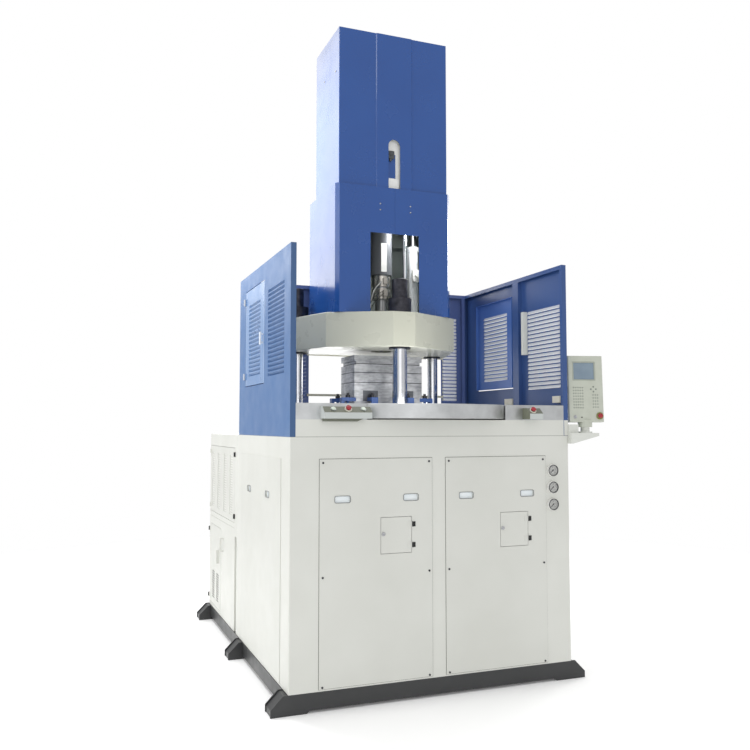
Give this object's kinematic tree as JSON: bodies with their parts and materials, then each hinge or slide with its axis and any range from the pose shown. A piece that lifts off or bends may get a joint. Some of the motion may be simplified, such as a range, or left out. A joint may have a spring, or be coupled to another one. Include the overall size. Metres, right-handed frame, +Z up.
{
  "type": "injection moulding machine",
  "caption": "Vertical injection moulding machine: a platen on tie bars over a rotary table, louvred guards, a telescoping tower, a steel bed on a skid and an operator panel.",
  "frame": {"origin": "middle of the whole machine's footprint, on the floor", "axes": "+Z up, -Y to the operator at the front, +X to the operator's right"},
  "size_m": [1.8352, 2.237, 3.588],
  "materials": {
    "skid_black": "satin",
    "cabinet_white": "satin",
    "tower_blue": "gloss",
    "platen_grey": "satin",
    "table_steel": "ground",
    "hinge_black": "matte",
    "screw_chrome": "bright",
    "gauge_white": "gloss",
    "needle_black": "matte",
    "rod_chrome": "polished",
    "nut_steel": "oiled",
    "cylinder_grey": "satin",
    "motor_grey": "satin",
    "tank_grey": "satin",
    "shroud_dark": "matte",
    "band_steel": "worn",
    "console_grey": "satin",
    "button_green": "gloss",
    "stop_red": "gloss",
    "panel_plastic": "matte",
    "key_steel": "bright"
  },
  "bodies": {
    "base": {"skid_frame": "skid_black", "bed_cabinet": "cabinet_white", "lower_platen": "platen_grey", "front_panel_left": "cabinet_white", "front_panel_right": "cabinet_white", "side_panels": "cabinet_white", "panel_screws": "screw_chrome", "door_hinges": "hinge_black", "gauge_cases": "gauge_white", "rear_cabinet": "cabinet_white", "guard_left": "tower_blue", "guard_right": "tower_blue", "guard_rear": "tower_blue", "table_surround": "table_steel", "slew_ring": "table_steel", "console_left": "console_grey", "console_right": "console_grey", "hmi_bracket": "cabinet_white", "clamp_cylinder": "cylinder_grey", "oil_tank": "tank_grey", "pump_motor": "motor_grey", "work_light": "cabinet_white"},
    "table": {"rotary_table": "table_steel", "mould_lower": "table_steel", "mould_upper": "table_steel", "mould_clamps": "tower_blue"},
    "platen": {"upper_platen": "platen_grey", "tie_bars": "rod_chrome", "tie_bar_nuts": "nut_steel", "crosshead": "platen_grey", "clamp_ram": "rod_chrome", "tower_lower_cover": "tower_blue", "guide_rods": "rod_chrome", "shift_cylinders": "cylinder_grey"},
    "carriage": {"tower_upper_cover": "tower_blue", "injection_block": "table_steel", "barrel": "table_steel", "heater_bands": "band_steel", "barrel_shroud": "shroud_dark", "nozzle": "table_steel", "screw_motor": "motor_grey"},
    "plasticising_screw": {"screw": "table_steel"},
    "guard_door_left": {"guard_door_left": "tower_blue"},
    "guard_door_right": {"guard_door_right": "tower_blue"},
    "access_door_left": {"access_door_left": "cabinet_white"},
    "access_door_right": {"access_door_right": "cabinet_white"},
    "access_latch_left": {"access_latch_left": "screw_chrome"},
    "access_latch_right": {"access_latch_right": "screw_chrome"},
    "rear_upper_door": {"rear_upper_door": "cabinet_white"},
    "rear_lower_door": {"rear_lower_door": "cabinet_white"},
    "push_button_one": {"push_button_one": "button_green"},
    "push_button_two": {"push_button_two": "button_green"},
    "estop_left": {"estop_left": "stop_red"},
    "estop_right": {"estop_right": "stop_red"},
    "operator_panel": {"hmi_housing": "panel_plastic"},
    "hmi_estop": {"hmi_estop": "stop_red"},
    "hmi_key": {"hmi_key": "key_steel"},
    "gauge_needle_top": {"gauge_needle_top": "needle_black"},
    "gauge_needle_middle": {"gauge_needle_middle": "needle_black"},
    "gauge_needle_bottom": {"gauge_needle_bottom": "needle_black"}
  },
  "joints": [
    {"name": "table_turn", "type": "hinge", "parent": "base", "child": "table", "pos_m": [-0.06957, -0.4965, 1.358], "axis": [0, 0, 1], "range_deg": [0, 180]},
    {"name": "platen_slide", "type": "slide", "parent": "base", "child": "platen", "axis": [0, 0, 1], "range_m": [-0.034, 0.2]},
    {"name": "carriage_slide", "type": "slide", "parent": "platen", "child": "carriage", "axis": [0, 0, 1], "range_m": [0, 0.2]},
    {"name": "screw_turn", "type": "hinge", "parent": "carriage", "child": "plasticising_screw", "pos_m": [-0.06957, -0.2165, 2.7], "axis": [0, 0, 1], "continuous": true},
    {"name": "guard_door_left_hinge", "type": "hinge", "parent": "base", "child": "guard_door_left", "pos_m": [-0.84057, 0.0015, 1.545], "axis": [0, 0, -1], "range_deg": [0, 110]},
    {"name": "guard_door_right_hinge", "type": "hinge", "parent": "base", "child": "guard_door_right", "pos_m": [0.70143, 0.0015, 1.545], "axis": [0, 0, 1], "range_deg": [0, 110]},
    {"name": "access_door_left_hinge", "type": "hinge", "parent": "base", "child": "access_door_left", "pos_m": [-0.21357, -0.9985, 0.793], "axis": [0, 0, 1], "range_deg": [0, 110]},
    {"name": "access_latch_left_turn", "type": "hinge", "parent": "access_door_left", "child": "access_latch_left", "pos_m": [-0.36757, -0.9945, 0.801], "axis": [0, -1, 0], "range_deg": [0, 90]},
    {"name": "access_door_right_hinge", "type": "hinge", "parent": "base", "child": "access_door_right", "pos_m": [0.44443, -0.9985, 0.793], "axis": [0, 0, 1], "range_deg": [0, 110]},
    {"name": "access_latch_right_turn", "type": "hinge", "parent": "access_door_right", "child": "access_latch_right", "pos_m": [0.29043, -0.9945, 0.801], "axis": [0, -1, 0], "range_deg": [0, 90]},
    {"name": "rear_upper_door_hinge", "type": "hinge", "parent": "base", "child": "rear_upper_door", "pos_m": [-0.83957, 0.2645, 0.735], "axis": [0, 0, 1], "range_deg": [0, 110]},
    {"name": "rear_lower_door_hinge", "type": "hinge", "parent": "base", "child": "rear_lower_door", "pos_m": [-0.83957, 1.1105, 0.115], "axis": [0, 0, -1], "range_deg": [0, 110]},
    {"name": "push_button_one_press", "type": "slide", "parent": "base", "child": "push_button_one", "axis": [0, 0.6616, -0.7498], "range_m": [0, 0.004], "stiffness_N_per_m": 1500},
    {"name": "push_button_two_press", "type": "slide", "parent": "base", "child": "push_button_two", "axis": [0, 0.6616, -0.7498], "range_m": [0, 0.004], "stiffness_N_per_m": 1500},
    {"name": "estop_left_press", "type": "slide", "parent": "base", "child": "estop_left", "axis": [0, 0.6616, -0.7498], "range_m": [0, 0.005], "stiffness_N_per_m": 3000},
    {"name": "estop_right_press", "type": "slide", "parent": "base", "child": "estop_right", "axis": [0, 0.6616, -0.7498], "range_m": [0, 0.005], "stiffness_N_per_m": 3000},
    {"name": "operator_panel_swivel", "type": "hinge", "parent": "base", "child": "operator_panel", "pos_m": [0.81243, -0.9795, 1.315], "axis": [0, 0, 1], "range_deg": [-35, 25]},
    {"name": "hmi_estop_press", "type": "slide", "parent": "operator_panel", "child": "hmi_estop", "axis": [0.2416, 0.969, -0.0523], "range_m": [0, 0.005], "stiffness_N_per_m": 3000},
    {"name": "hmi_key_turn", "type": "hinge", "parent": "operator_panel", "child": "hmi_key", "pos_m": [0.74173, -0.99232, 1.36989], "axis": [-0.2416, -0.969, 0.0523], "range_deg": [-90, 0]},
    {"name": "gauge_needle_top_swing", "type": "hinge", "parent": "base", "child": "gauge_needle_top", "pos_m": [0.59043, -1.0075, 1.088], "axis": [0, 1, 0], "range_deg": [0, 270], "stiffness_Nm_per_rad": 0.002},
    {"name": "gauge_needle_middle_swing", "type": "hinge", "parent": "base", "child": "gauge_needle_middle", "pos_m": [0.59043, -1.0075, 1], "axis": [0, 1, 0], "range_deg": [0, 270], "stiffness_Nm_per_rad": 0.002},
    {"name": "gauge_needle_bottom_swing", "type": "hinge", "parent": "base", "child": "gauge_needle_bottom", "pos_m": [0.59043, -1.0075, 0.911], "axis": [0, 1, 0], "range_deg": [0, 270], "stiffness_Nm_per_rad": 0.002}
  ]
}
